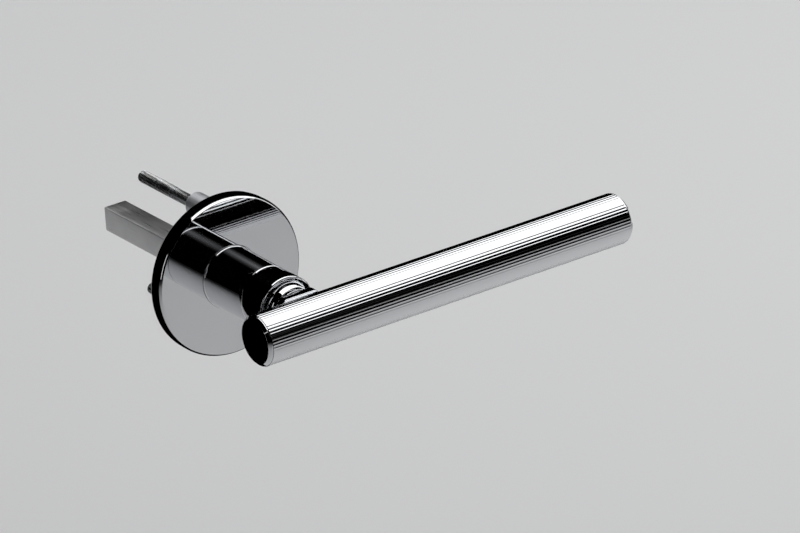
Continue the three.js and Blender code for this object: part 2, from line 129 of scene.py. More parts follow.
@dataclass(frozen=True)
class Lathe:
    """Turns outlines into closed meshes.

    On the spindle's axis "along" is the distance out of the door, and on the bar's axis it is x.
    """

    axis: Axis = Axis.SPINDLE
    centre: tuple[float, float] = (0.0, 0.0)
    segments: int = 192
    arc_steps: int = 7
    support: float = 0.03 * MM

    def outline(self, corners: Sequence[Corner]) -> list[tuple[float, float]]:
        """Rounds the corners and puts a point on the straight beside each rounding, which keeps flats flat.

        Args:
            corners: the outline's corners in order, closed from the last one to the first.

        Returns:
            The outline's points as (radius, along).
        """
        points: list[tuple[float, float]] = []
        count = len(corners)
        for i, corner in enumerate(corners):
            here = Vector((corner.radius, corner.along))
            before = Vector((corners[i - 1].radius, corners[i - 1].along)) - here
            after = Vector((corners[(i + 1) % count].radius, corners[(i + 1) % count].along)) - here
            if corner.rounding <= 0:
                points.append(tuple(here))
                continue
            points.extend(self._rounded(here, before, after, corner.rounding))
        return points

    def _rounded(self, here: Vector, before: Vector, after: Vector,
                 rounding: float) -> list[tuple[float, float]]:
        """The points of one rounded corner, with its two support points.

        Args:
            here: the corner.
            before: the way to the corner before it.
            after: the way to the corner after it.
            rounding: the radius of the rounding.

        Returns:
            The points in order.
        """
        half = before.angle(after) / 2
        back = min(rounding / math.tan(half), 0.45 * before.length, 0.45 * after.length)
        radius = back * math.tan(half)
        middle = (before.normalized() + after.normalized()).normalized() * (radius / math.sin(half))
        start = before.normalized() * back - middle
        turn = start.angle_signed(after.normalized() * back - middle)
        found = [tuple(here + before.normalized() * (back + self.support))]
        for step in range(self.arc_steps + 1):
            angle = -turn * step / self.arc_steps
            spoke = Vector((
                start.x * math.cos(angle) - start.y * math.sin(angle),
                start.x * math.sin(angle) + start.y * math.cos(angle),
            ))
            found.append(tuple(here + middle + spoke))
        found.append(tuple(here + after.normalized() * (back + self.support)))
        return found

    def place(self, radius: float, along: float, angle: float) -> Vector:
        """The point of the frame at that radius, distance along the axis and angle round it."""
        across, up = radius * math.cos(angle), radius * math.sin(angle)
        if self.axis is Axis.SPINDLE:
            return Vector((self.centre[0] + across, -along, self.centre[1] + up))
        return Vector((along, self.centre[0] + across, self.centre[1] + up))

    def turn(self, name: str, corners: Sequence[Corner]) -> bpy.types.Object:
        """Makes a closed piece of revolution.

        Args:
            name: the piece's name.
            corners: the outline. It touches the axis only at its first and last corner, or not at all.

        Returns:
            The new object, at the origin.
        """
        body = bmesh.new()
        rings = []
        for radius, along in self.outline(corners):
            if radius <= ON_AXIS:
                rings.append([body.verts.new(self.place(0, along, 0))])
                continue
            angles = (2 * math.pi * step / self.segments for step in range(self.segments))
            rings.append([body.verts.new(self.place(radius, along, angle)) for angle in angles])
        pairs = list(zip(rings, rings[1:]))
        if len(rings[0]) > 1:
            pairs.append((rings[-1], rings[0]))
        for first, second in pairs:
            for step in range(self.segments):
                following = (step + 1) % self.segments
                loop = [first[step % len(first)], first[following % len(first)],
                        second[following % len(second)], second[step % len(second)]]
                body.faces.new(list(dict.fromkeys(loop)))
        return object_from(name, body)


def section(inner: float, outer: float, start: float, end: float,
            edges: tuple[float, float, float, float] = (0.0, 0.0, 0.0, 0.0)) -> list[Corner]:
    """The outline of a plain tube, or of a rod where inner is 0, with its corners' roundings."""
    places = ((inner, start), (outer, start), (outer, end), (inner, end))
    return [Corner(*place, edge) for place, edge in zip(places, edges)]


def linked(name: str, data: bpy.types.ID) -> bpy.types.Object:
    """A new object in the scene that holds the given data."""
    made = bpy.data.objects.new(name, data)
    bpy.context.scene.collection.objects.link(made)
    return made


def object_from(name: str, body: bmesh.types.BMesh) -> bpy.types.Object:
    """Turns a bmesh into an object at the origin, with its faces pointing outwards."""
    bmesh.ops.remove_doubles(body, verts=body.verts, dist=SAME_POINT)
    bmesh.ops.recalc_face_normals(body, faces=body.faces)
    mesh = bpy.data.meshes.new(name)
    body.to_mesh(mesh)
    body.free()
    return linked(name, mesh)


def prism(name: str, points: Sequence[tuple[float, float]], start: float, end: float) -> bpy.types.Object:
    """A closed prism along the spindle's axis.

    Args:
        name: the piece's name.
        points: its outline as (x, z).
        start: the distance out of the door at which it begins.
        end: the distance out of the door at which it ends.

    Returns:
        The new object, at the origin.
    """
    body = bmesh.new()
    near = [body.verts.new((x, -start, z)) for x, z in points]
    far = [body.verts.new((x, -end, z)) for x, z in points]
    body.faces.new(near)
    body.faces.new(far)
    for i in range(len(points)):
        following = (i + 1) % len(points)
        body.faces.new([near[i], near[following], far[following], far[i]])
    return object_from(name, body)


def arc_points(radius: float, start: float, end: float, steps: int,
               centre: tuple[float, float] = (0.0, 0.0)) -> list[tuple[float, float]]:
    """Points on an arc, both ends included, with its angles in degrees."""
    angles = (math.radians(start + (end - start) * step / steps) for step in range(steps + 1))
    return [(centre[0] + radius * math.cos(a), centre[1] + radius * math.sin(a)) for a in angles]


def rounded_rectangle(wide: float, tall: float, corner: float, steps: int = 8) -> list[tuple[float, float]]:
    """The outline of a rectangle with round corners, about the origin."""
    x, z = wide / 2 - corner, tall / 2 - corner
    centres = ((x, z), (-x, z), (-x, -z), (x, -z))
    return [point for turn, centre in enumerate(centres)
            for point in arc_points(corner, 90 * turn, 90 * turn + 90, steps, centre)]


def hexagon(across_flats: float, centre: tuple[float, float] = (0.0, 0.0)) -> list[tuple[float, float]]:
    """The outline of a hexagon."""
    return arc_points(across_flats / math.sqrt(3), 0, 300, 5, centre)


def evaluated(piece: bpy.types.Object) -> None:
    """Replaces a piece's mesh with what its modifiers make of it, and removes the modifiers."""
    graph = bpy.context.evaluated_depsgraph_get()
    mesh = bpy.data.meshes.new_from_object(piece.evaluated_get(graph), depsgraph=graph)
    old = piece.data
    piece.modifiers.clear()
    piece.data = mesh
    mesh.name = piece.name
    bpy.data.meshes.remove(old)


class Join(Enum):
    """What a boolean does with its tools."""

    CUT = "DIFFERENCE"
    ADD = "UNION"


def combine(piece: bpy.types.Object, tools: Iterable[bpy.types.Object],
            how: Join = Join.CUT) -> bpy.types.Object:
    """Cuts the tools out of a piece, or adds them to it, and removes them.

    Args:
        piece: the piece that stays.
        tools: closed objects.
        how: what is done with each tool.

    Returns:
        The same piece.
    """
    tools = list(tools)
    for tool in tools:
        modifier = piece.modifiers.new("combine", "BOOLEAN")
        modifier.operation = how.value
        modifier.solver = "EXACT"
        modifier.object = tool
    evaluated(piece)
    for tool in tools:
        bpy.data.meshes.remove(tool.data)
    return piece


def bevelled(piece: bpy.types.Object, width: float, segments: int = 3, angle: float = 30) -> bpy.types.Object:
    """Rounds a piece's sharp edges."""
    modifier = piece.modifiers.new("edges", "BEVEL")
    modifier.width = width
    modifier.segments = segments
    modifier.limit_method = "ANGLE"
    modifier.angle_limit = math.radians(angle)
    modifier.harden_normals = False
    evaluated(piece)
    return piece


def round_bar(name: str, reach: Extent, edge: float = 0.0, grown: float = 0.0,
              past: float = 0.0) -> bpy.types.Object:
    """A round bar along the spindle's direction, in the place of a node.

    Args:
        name: the bar's name.
        reach: the extent that the bar follows.
        edge: the rounding of its ends.
        grown: how much wider than the extent it is, on the radius.
        past: how far past the extent it goes at both ends.

    Returns:
        The new object.
    """
    lathe = Lathe(centre=(reach.centre.x, reach.centre.z), segments=64)
    radius, start, end = reach.radius + grown, reach.inner - past, reach.outer + past
    return lathe.turn(name, section(0, radius, start, end, (0, edge, edge, 0)))


def upright(name: str, reach: Extent, radius: float, low: float, high: float, edge: float = 0.0,
            sides: int = 64) -> bpy.types.Object:
    """An upright round bar, or a prism with few sides, through the middle of an extent."""
    body = bmesh.new()
    bmesh.ops.create_cone(
        body, cap_ends=True, segments=sides, radius1=radius, radius2=radius, depth=high - low,
        matrix=Matrix.Translation((reach.centre.x, reach.centre.y, (low + high) / 2)))
    piece = object_from(name, body)
    return bevelled(piece, edge) if edge else piece


def grub_way(low: float = -12 * MM) -> bpy.types.Object:
    """The way in for the grub screw, from below to the middle of the spindle."""
    reach = Extent.of("grub_screw")
    return upright("grub_way", reach, (reach.high.x - reach.low.x) / 2 + FIT, low, 0)


def dowel_way(node: str) -> bpy.types.Object:
    """The hole for a dowel."""
    return round_bar("dowel_way", Extent.of(node), grown=FIT, past=FIT)


def drill(tool: Extent, through: Extent) -> bpy.types.Object:
    """A cutter that makes way for one node right through another."""
    span = Extent(Vector((tool.low.x, through.low.y, tool.low.z)),
                  Vector((tool.high.x, through.high.y, tool.high.z)))
    return round_bar("drill", span, grown=FIT, past=PAST)


def shade(piece: bpy.types.Object, sharp_from: float = 25) -> None:
    """Shades a piece smooth, with edges sharper than the given angle in degrees left sharp."""
    mesh = piece.data
    mesh.polygons.foreach_set("use_smooth", [True] * len(mesh.polygons))
    mesh.set_sharp_from_angle(angle=math.radians(sharp_from))


# ---- node trees ----


class Graph:
    """Writes a node tree, for a material or for geometry."""

    def __init__(self, tree: bpy.types.NodeTree) -> None:
        """Starts on an empty tree."""
        self.tree = tree
        tree.nodes.clear()

    @classmethod
    def of_material(cls, name: str) -> tuple[bpy.types.Material, "Graph"]:
        """A new material and its empty tree."""
        made = bpy.data.materials.new(name)
        made.use_nodes = True
        return made, cls(made.node_tree)

    def surface(self, shader: bpy.types.NodeSocket, output: str = "Material") -> None:
        """Ends the tree at the surface of a material or a world."""
        self.put(self.node(f"ShaderNodeOutput{output}").inputs["Surface"], shader)

    def node(self, kind: str, **settings: object) -> bpy.types.Node:
        """Adds a node and sets its properties."""
        made = self.tree.nodes.new(kind)
        for name, value in settings.items():
            setattr(made, name, value)
        return made

    def feed(self, node: bpy.types.Node, **inputs: object) -> bpy.types.Node:
        """Fills a node's inputs by name, with _ for a space: a socket is linked, and a value is set."""
        for name, value in inputs.items():
            self.put(node.inputs[name.replace("_", " ")], value)
        return node

    def put(self, socket: bpy.types.NodeSocket, value: object) -> None:
        """Links a socket, or sets a value on it."""
        if isinstance(value, bpy.types.NodeSocket):
            self.tree.links.new(value, socket)
        else:
            socket.default_value = value

    def math(self, operation: str, *values: object) -> bpy.types.NodeSocket:
        """A maths node's result, from sockets or numbers."""
        made = self.node("ShaderNodeMath", operation=operation)
        for socket, value in zip(made.inputs, values):
            self.put(socket, value)
        return made.outputs[0]

    def combine(self, x: object, y: object, z: object) -> bpy.types.NodeSocket:
        """A vector from its three parts."""
        made = self.node("ShaderNodeCombineXYZ")
        for socket, value in zip(made.inputs, (x, y, z)):
            self.put(socket, value)
        return made.outputs[0]


class GeometryTree:
    """A geometry node tree with named inputs, run once on a piece."""

    def __init__(self, name: str, inputs: dict[str, tuple[str, object]]) -> None:
        """Makes the tree, its inputs and its output.

        Args:
            name: the tree's name.
            inputs: each input's name, with its socket type and default.
        """
        self.tree = bpy.data.node_groups.new(name, "GeometryNodeTree")
        self.graph = Graph(self.tree)
        face = self.tree.interface
        face.new_socket("Geometry", in_out="INPUT", socket_type="NodeSocketGeometry")
        self.identifiers: dict[str, str] = {}
        for label, (kind, default) in inputs.items():
            socket = face.new_socket(label, in_out="INPUT", socket_type=kind)
            if default is not None:
                socket.default_value = default
            self.identifiers[label] = socket.identifier
        material = face.new_socket("Material", in_out="INPUT", socket_type="NodeSocketMaterial")
        self.identifiers["Material"] = material.identifier
        face.new_socket("Geometry", in_out="OUTPUT", socket_type="NodeSocketGeometry")
        self.source = self.graph.node("NodeGroupInput")

    def value(self, label: str) -> bpy.types.NodeSocket:
        """The socket that gives an input's value."""
        return self.source.outputs[label]

    def close(self, geometry: bpy.types.NodeSocket) -> None:
        """Ends the tree: instances made real, then the material set."""
        real = self.graph.node("GeometryNodeRealizeInstances")
        dressed = self.graph.node("GeometryNodeSetMaterial")
        target = self.graph.node("NodeGroupOutput")
        self.graph.put(real.inputs["Geometry"], geometry)
        self.graph.put(dressed.inputs["Geometry"], real.outputs["Geometry"])
        self.graph.put(dressed.inputs["Material"], self.value("Material"))
        self.graph.put(target.inputs["Geometry"], dressed.outputs["Geometry"])

    def run(self, piece: bpy.types.Object, material: bpy.types.Material, values: dict[str, object]) -> None:
        """Runs the tree on a piece, whose mesh becomes the result.

        Args:
            piece: the object to work on.
            material: the material that the result gets.
            values: the inputs that differ from their defaults.
        """
        modifier = piece.modifiers.new(self.tree.name, "NODES")
        modifier.node_group = self.tree
        for label, value in {**values, "Material": material}.items():
            modifier[self.identifiers[label]] = value
        evaluated(piece)


def flute_tree() -> GeometryTree:
    """A tree that cuts lengthwise flutes, shallow round hollows between fine crests, into a bar along X."""
    built = GeometryTree("lengthwise_flutes", {
        "Axis Y": ("NodeSocketFloat", 0.0),
        "Radius": ("NodeSocketFloat", 8 * MM),
        "Skin": ("NodeSocketFloat", 0.5 * MM),
        "Depth": ("NodeSocketFloat", 0.05 * MM),
        "Count": ("NodeSocketInt", 56),
        "Crest": ("NodeSocketFloat", 0.12),
    })
    g, value = built.graph, built.value
    calc = g.math
    apart = g.node("ShaderNodeSeparateXYZ")
    g.put(apart.inputs[0], g.node("GeometryNodeInputPosition").outputs[0])
    x, y, z = apart.outputs
    across = calc("SUBTRACT", y, value("Axis Y"))
    radius = calc("SQRT", calc("ADD", calc("MULTIPLY", across, across), calc("MULTIPLY", z, z)))
    turns = calc("ADD", calc("DIVIDE", calc("ARCTAN2", z, across), 2 * math.pi), 1.0)
    share = calc("FRACT", calc("MULTIPLY", turns, value("Count")))
    side = calc("ABSOLUTE", calc("SUBTRACT", calc("MULTIPLY", share, 2.0), 1.0))
    hollow = calc("SUBTRACT", 1.0, calc("MULTIPLY", side, side))
    over = calc("MAXIMUM", 0.0, calc("SUBTRACT", side, calc("SUBTRACT", 1.0, value("Crest"))))
    crest = calc("DIVIDE", calc("MULTIPLY", over, over), value("Crest"))
    drop = calc("MULTIPLY", value("Depth"), calc("ADD", hollow, crest))
    inside = calc("SUBTRACT", value("Radius"), value("Skin"))
    near = calc("DIVIDE", calc("SUBTRACT", radius, inside), value("Skin"))
    mask = calc("MINIMUM", 1.0, calc("MAXIMUM", 0.0, near))
    scale = calc("SUBTRACT", 1.0, calc("DIVIDE", calc("MULTIPLY", drop, mask), radius))
    moved = g.combine(
        x,
        calc("ADD", value("Axis Y"), calc("MULTIPLY", across, scale)),
        calc("MULTIPLY", z, scale),
    )
    placed = g.node("GeometryNodeSetPosition")
    g.put(placed.inputs["Geometry"], value("Geometry"))
    g.put(placed.inputs["Position"], moved)
    built.close(placed.outputs["Geometry"])
    return built


def thread_tree() -> GeometryTree:
    """A tree that makes a closed screw thread along the spindle's direction, with both ends run out."""
    built = GeometryTree("screw_thread", {
        "Centre X": ("NodeSocketFloat", 0.0),
        "Centre Z": ("NodeSocketFloat", 0.0),
        "From": ("NodeSocketFloat", 0.0),
        "Length": ("NodeSocketFloat", 10 * MM),
        "Radius": ("NodeSocketFloat", 2 * MM),
        "Depth": ("NodeSocketFloat", 0.35 * MM),
        "Pitch": ("NodeSocketFloat", 0.7 * MM),
        "Run Out": ("NodeSocketFloat", 0.6 * MM),
        "Rows": ("NodeSocketInt", 200),
        "Around": ("NodeSocketInt", 33),
    })
    g, value = built.graph, built.value
    calc = g.math
    steepness, flat, end_depth = 1.35, 0.15, 1.3
    grid = g.node("GeometryNodeMeshGrid")
    g.feed(grid, Size_X=1.0, Size_Y=1.0, Vertices_X=value("Rows"), Vertices_Y=value("Around"))
    apart = g.node("ShaderNodeSeparateXYZ")
    g.put(apart.inputs[0], g.node("GeometryNodeInputPosition").outputs[0])
    along = calc("ADD", apart.outputs[0], 0.5)
    around = calc("ADD", apart.outputs[1], 0.5)
    length = calc("MULTIPLY", along, value("Length"))
    phase = calc("FRACT", calc("ADD", calc("DIVIDE", length, value("Pitch")), around))
    ridge = calc("ABSOLUTE", calc("SUBTRACT", calc("MULTIPLY", phase, 2.0), 1.0))
    flank = calc("MINIMUM", 1.0, calc("MAXIMUM", 0.0, calc("MULTIPLY_ADD", ridge, steepness, -flat)))
    from_end = calc("MINIMUM", length, calc("SUBTRACT", value("Length"), length))
    fade = calc("SUBTRACT", 1.0, calc("DIVIDE", from_end, value("Run Out")))
    shrink = calc("MULTIPLY", calc("MAXIMUM", 0.0, fade), calc("MULTIPLY", value("Depth"), end_depth))
    deep = calc("MAXIMUM", shrink, calc("MULTIPLY", value("Depth"), flank))
    rounded = calc("SUBTRACT", value("Radius"), deep)
    inside = calc("GREATER_THAN", from_end, TINY)
    radius = calc("MULTIPLY", rounded, inside)
    angle = calc("MULTIPLY", around, 2 * math.pi)
    placed = g.node("GeometryNodeSetPosition")
    g.put(placed.inputs["Geometry"], grid.outputs["Mesh"])
    g.put(placed.inputs["Position"], g.combine(
        calc("ADD", value("Centre X"), calc("MULTIPLY", radius, calc("COSINE", angle))),
        calc("ADD", value("From"), length),
        calc("ADD", value("Centre Z"), calc("MULTIPLY", radius, calc("SINE", angle))),
    ))
    merged = g.node("GeometryNodeMergeByDistance")
    g.put(merged.inputs["Geometry"], placed.outputs["Geometry"])
    merged.inputs["Distance"].default_value = TINY
    built.close(merged.outputs["Geometry"])
    return built


# ---- finishes ----


CHROME = ((0.80, 0.81, 0.83), (0.78, 0.79, 0.81), 1.0)
GRAIN_SHARE = 0.6
NOISE_ROUGHNESS = 0.55
NOISE_LOW, NOISE_HIGH = 0.3, 0.7


@dataclass(frozen=True)
class Finish:
    """A metal or plastic finish: a slightly varied colour, and a grain in its gloss and relief.

    A small scale along an axis stretches the grain, which makes drawn or brushed lines.
    """

    slot: str
    colour: tuple[float, float, float]
    tint: tuple[float, float, float]
    metallic: float
    gloss: tuple[float, float]
    grain: tuple[float, float, float] = (900.0, 900.0, 900.0)
    patch: float = 60.0
    relief: float = 0.004 * MM
    subsurface: float = 0.0

    def material(self) -> bpy.types.Material:
        """Builds the finish's material."""
        made, g = Graph.of_material(self.slot)
        shader = g.node("ShaderNodeBsdfPrincipled")
        g.feed(shader, Metallic=self.metallic, Subsurface_Weight=self.subsurface)
        g.surface(shader.outputs["BSDF"])
        coordinates = g.node("ShaderNodeTexCoord").outputs["Object"]
        grain = self.noise(g, coordinates, self.grain, detail=3.0)
        patches = self.noise(g, coordinates, (self.patch,) * 3, detail=2.0)
        g.put(shader.inputs["Base Color"], self.mixed(g, patches))
        g.put(shader.inputs["Roughness"], self.ranged(g, self.worn(g, grain, patches), *self.gloss))
        bump = g.node("ShaderNodeBump")
        g.feed(bump, Strength=1.0, Distance=self.relief, Height=grain)
        g.put(shader.inputs["Normal"], bump.outputs["Normal"])
        return made

    def noise(self, g: Graph, coordinates: bpy.types.NodeSocket, scale: tuple[float, float, float],
              detail: float) -> bpy.types.NodeSocket:
        """A noise over the piece at its own scale on each axis."""
        mapped = g.node("ShaderNodeMapping")
        g.feed(mapped, Vector=coordinates, Scale=scale)
        noise = g.node("ShaderNodeTexNoise", noise_dimensions="3D")
        g.feed(noise, Vector=mapped.outputs[0], Scale=1.0, Detail=detail, Roughness=NOISE_ROUGHNESS)
        return noise.outputs["Fac"]

    def worn(self, g: Graph, grain: bpy.types.NodeSocket,
             patches: bpy.types.NodeSocket) -> bpy.types.NodeSocket:
        """Where the surface is duller: grain and patches together."""
        return g.math("MULTIPLY_ADD", grain, GRAIN_SHARE,
                      g.math("MULTIPLY", patches, 1 - GRAIN_SHARE))

    def ranged(self, g: Graph, value: bpy.types.NodeSocket, low: float, high: float) -> bpy.types.NodeSocket:
        """Spreads the middle of a noise from low to high."""
        spread = g.node("ShaderNodeMapRange")
        g.feed(spread, Value=value, From_Min=NOISE_LOW, From_Max=NOISE_HIGH, To_Min=low, To_Max=high)
        return spread.outputs["Result"]

    def mixed(self, g: Graph, share: bpy.types.NodeSocket) -> bpy.types.NodeSocket:
        """The finish's two tones, mixed by a noise."""
        ramp = g.node("ShaderNodeValToRGB")
        stops = ((NOISE_LOW, self.tint), (NOISE_HIGH, self.colour))
        for element, (position, colour) in zip(ramp.color_ramp.elements, stops):
            element.position, element.color = position, (*colour, 1.0)
        g.put(ramp.inputs["Fac"], share)
        return ramp.outputs["Color"]


FINISHES: tuple[Finish, ...] = (
    Finish("chrome", *CHROME, (0.02, 0.035), (700, 700, 700), 35, relief=0.00002 * MM),
    Finish("bar_chrome", *CHROME, (0.03, 0.06), (60, 1500, 1500), 40, relief=0.0001 * MM),
    Finish("cap_chrome", *CHROME, (0.02, 0.04), (800, 800, 800), 60, relief=0.00003 * MM),
    Finish("zinc", (0.60, 0.61, 0.63), (0.50, 0.51, 0.53), 1.0, (0.38, 0.55), (1600, 1600, 1600), 120,
           relief=0.012 * MM),
    Finish("steel", (0.56, 0.565, 0.575), (0.47, 0.475, 0.485), 1.0, (0.22, 0.36), (300, 4200, 300), 150,
           relief=0.003 * MM),
    Finish("bright_bolt", (0.66, 0.68, 0.70), (0.60, 0.60, 0.58), 1.0, (0.16, 0.30), (1500, 1500, 1500), 200,
           relief=0.003 * MM),
    Finish("spindle_steel", (0.58, 0.58, 0.585), (0.48, 0.48, 0.49), 1.0, (0.24, 0.40), (2600, 60, 2600), 90,
           relief=0.006 * MM),
    Finish("spring_steel", (0.36, 0.37, 0.40), (0.25, 0.25, 0.29), 1.0, (0.20, 0.34), (2000, 2000, 300), 160,
           relief=0.003 * MM),
    Finish("blackened", (0.045, 0.045, 0.05), (0.02, 0.02, 0.022), 0.6, (0.30, 0.45), (1800, 1800, 1800), 220,
           relief=0.004 * MM),
    Finish("polymer", (0.80, 0.785, 0.73), (0.76, 0.745, 0.69), 0.0, (0.34, 0.46), (1400, 1400, 1400), 100,
           relief=0.004 * MM, subsurface=0.05),
)


class Workshop:
    """Holds the finishes and trees, and hands finished pieces over to the frame."""

    def __init__(self) -> None:
        """Makes every finish's material, and the two trees."""
        self.materials = {finish.slot: finish.material() for finish in FINISHES}
        self.flutes = flute_tree()
        self.thread = thread_tree()
        self.slots = {part["node"]: part["material_slot"] for part in frame["record"]["subparts"]}
        self.bodies = {node: body for body, nodes in frame["record"]["behaviour"]["bodies"].items()
                       for node in nodes}
        self.replaced: set[str] = set()

    def material_for(self, node: str) -> bpy.types.Material:
        """The material of a node's slot."""
        return self.materials[self.slots[node]]

    def hand_over(self, piece: bpy.types.Object, node: str, sharp_from: float = 25) -> None:
        """Shades and dresses a finished piece, and lets it stand for its node.

        Args:
            piece: the finished piece, at the origin.
            node: the node that it stands for.
            sharp_from: edges sharper than this, in degrees, stay sharp.
        """
        shade(piece, sharp_from)
        piece.data.materials.clear()
        piece.data.materials.append(self.material_for(node))
        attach(piece, self.bodies[node])
        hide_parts(node)
        self.replaced.add(node)
        LOG.info("%s stands for %s: %d faces", piece.name, node, len(piece.data.polygons))

    def dress_the_rest(self) -> None:
        """Gives each node that stays its slot's material."""
        for node, piece in frame["nodes"].items():
            if node in self.replaced:
                continue
            piece.data.materials.clear()
            piece.data.materials.append(self.material_for(node))
            LOG.info("%s stays, in %s", node, self.slots[node])


# ---- the rose ----


@dataclass
class Rose:
    """The round cover, the base plate behind it, and what the base plate carries."""

    shop: Workshop
    edge: float = 2.2 * MM
    edge_sweep: float = 52.0
    edge_steps: int = 20
    crisp: float = 0.05 * MM
    inner_edge: float = 0.5 * MM
    wall: float = 1.1 * MM
    face: float = 1.0 * MM
    hole_edge: float = 0.15 * MM
    neck_taper: float = 0.15 * MM
    snap_overlap: float = 0.6 * MM
    plate_face: float = 1.8 * MM
    plate_rim: float = 1.5 * MM
    cast_edge: float = 0.3 * MM
    bush_bore: float = 7.7 * MM
    bush_wall: float = 1.2 * MM
    flange: float = 0.8 * MM
    moulded_edge: float = 0.2 * MM
    sleeve_bore: float = 2.3 * MM
    sleeve_lead: float = 0.4 * MM
    pin_edge: float = 0.2 * MM
    lathe: Lathe = field(default_factory=lambda: Lathe(segments=256, arc_steps=16))

    def build(self) -> None:
        """Builds and dresses the rose's pieces."""
        self.cover()
        self.plate()
        self.bush()
        self.washer()
        for node in SLEEVES:
            self.sleeve(node)
        for node in PINS:
            self.pin(node)

    def cover(self) -> None:
        """The spun cover: a thin cup with a round front edge and a hole for the neck."""
        reach = Extent.of("rose_cover")
        neck = Extent.of("neck_head")
        outside, inside = reach.radius, reach.radius - self.wall
        hole = neck.radius + self.neck_taper + FIT
        snap = Extent.of("snap_ring")
        groove = snap.radius + SEAT
        rise = self.edge * math.sin(math.radians(self.edge_sweep))
        swept = arc_points(self.edge, 0, self.edge_sweep, self.edge_steps,
                           (outside - self.edge, reach.outer - rise))
        edge = [Corner(radius, along) for radius, along in swept[:-1]]
        edge.append(Corner(*swept[-1], self.crisp))
        corners = [
            Corner(inside, reach.inner, FINE_EDGE),
            Corner(outside, reach.inner, FINE_EDGE),
            *edge,
            Corner(hole, reach.outer, self.hole_edge),
            Corner(hole, reach.outer - self.face, self.hole_edge / 2),
            Corner(inside, reach.outer - self.face, self.inner_edge),
            Corner(inside, snap.outer + SEAT),
            Corner(groove, snap.outer + SEAT),
            Corner(groove, snap.inner - SEAT),
            Corner(inside, snap.inner - SEAT),
        ]
        self.shop.hand_over(self.lathe.turn("rose_cover_spun", corners), "rose_cover")

    def plate(self) -> None:
        """The die-cast base plate, drilled for the sleeves and pins, with a groove for the snap ring."""
        reach = Extent.of("base_plate")
        snap = Extent.of("snap_ring")
        bush = Extent.of("bearing_bush")
        rim = reach.radius
        groove = snap.radius - 2 * self.snap_overlap - SEAT
        bore = self.bush_bore + self.bush_wall + FIT
        recess, deep = bush.radius + FIT, self.flange + FIT
        corners = [
            Corner(recess, reach.inner, FINE_EDGE),
            Corner(rim, reach.inner, self.cast_edge),
            Corner(rim, snap.inner - SEAT),
            Corner(groove, snap.inner - SEAT),
            Corner(groove, snap.outer + SEAT),
            Corner(rim, snap.outer + SEAT),
            Corner(rim, reach.outer, FINE_EDGE),
            Corner(rim - self.plate_rim, reach.outer, FINE_EDGE),
            Corner(rim - self.plate_rim, self.plate_face, self.cast_edge),
            Corner(bore, self.plate_face, FINE_EDGE),
            Corner(bore, deep, FINE_EDGE),
            Corner(recess, deep, FINE_EDGE),
        ]
        plate = self.lathe.turn("base_plate_cast", corners)
        drills = [drill(Extent.of(node), reach) for node in SLEEVES + PINS]
        self.shop.hand_over(combine(plate, drills), "base_plate")

    def bush(self) -> None:
        """The moulded bearing bush, with a flange behind the base plate."""
        reach = Extent.of("bearing_bush")
        inner, outer = self.bush_bore, self.bush_bore + self.bush_wall
        corners = [
            Corner(inner, reach.inner, FINE_EDGE),
            Corner(outer, reach.inner, self.moulded_edge),
            Corner(outer, 0),
            Corner(reach.radius, 0, self.moulded_edge),
            Corner(reach.radius, self.flange, self.moulded_edge),
            Corner(outer, self.flange),
            Corner(outer, reach.outer, self.moulded_edge),
            Corner(inner, reach.outer, FINE_EDGE),
        ]
        self.shop.hand_over(self.lathe.turn("bearing_bush_moulded", corners), "bearing_bush")

    def washer(self) -> None:
        """The thrust washer, stamped with slightly rounded edges."""
        reach = Extent.of("thrust_washer")
        corners = section(self.bush_bore, reach.radius, reach.inner, reach.outer, (FINE_EDGE,) * 4)
        self.shop.hand_over(self.lathe.turn("thrust_washer_stamped", corners), "thrust_washer")

    def sleeve(self, node: str) -> None:
        """A support sleeve, with a chamfered end in the door."""
        reach = Extent.of(node)
        lathe = Lathe(centre=(reach.centre.x, reach.centre.z), segments=96)
        corners = section(self.sleeve_bore, reach.radius, reach.inner, reach.outer,
                          (self.moulded_edge, self.sleeve_lead, FINE_EDGE, FINE_EDGE))
        self.shop.hand_over(lathe.turn(f"{node}_turned", corners), node)

    def pin(self, node: str) -> None:
        """A small steel pin with rounded ends."""
        self.shop.hand_over(round_bar(f"{node}_turned", Extent.of(node), self.pin_edge), node)


# ---- bolts ----


@dataclass
class Fixings:
    """The two bolts that hold the rose through the door."""

    shop: Workshop
    head_height: float = 1.5 * MM
    socket: float = 2.5 * MM
    socket_depth: float = 1.05 * MM
    pitch: float = 0.7 * MM
    thread_depth: float = 0.36 * MM
    shank_radius: float = 2.0 * MM
    thread_in_head: float = 0.4 * MM
    rows_a_turn: int = 8
    around: int = 37
    head_edge: float = 0.45 * MM

    def build(self) -> None:
        """Builds and dresses both bolts."""
        for name in ("upper", "lower"):
            self.bolt(f"fixing_bolt_{name}")

    def bolt(self, node: str) -> None:
        """A bolt with a full thread and a low head with a hexagon socket."""
        reach = Extent.of(node)
        centre = (reach.centre.x, reach.centre.z)
        length = reach.outer - reach.inner - self.head_height + self.thread_in_head
        piece = linked(f"{node}_threaded", bpy.data.meshes.new(node))
        self.shop.thread.run(piece, self.shop.material_for(node), {
            "Centre X": centre[0], "Centre Z": centre[1], "From": -reach.inner - length,
            "Length": length, "Radius": self.shank_radius, "Depth": self.thread_depth,
            "Pitch": self.pitch, "Rows": round(self.rows_a_turn * length / self.pitch),
            "Around": self.around,
        })
        lathe = Lathe(centre=centre, segments=96)
        under = reach.outer - self.head_height
        head = lathe.turn("head", section(0, reach.radius, under, reach.outer,
                                          (0, FINE_EDGE, self.head_edge, 0)))
        combine(head, [prism("socket", hexagon(self.socket, centre),
                             reach.outer - self.socket_depth, reach.outer + PAST)])
        combine(piece, [head], Join.ADD)
        self.shop.hand_over(piece, node, sharp_from=30)


# ---- the neck ----


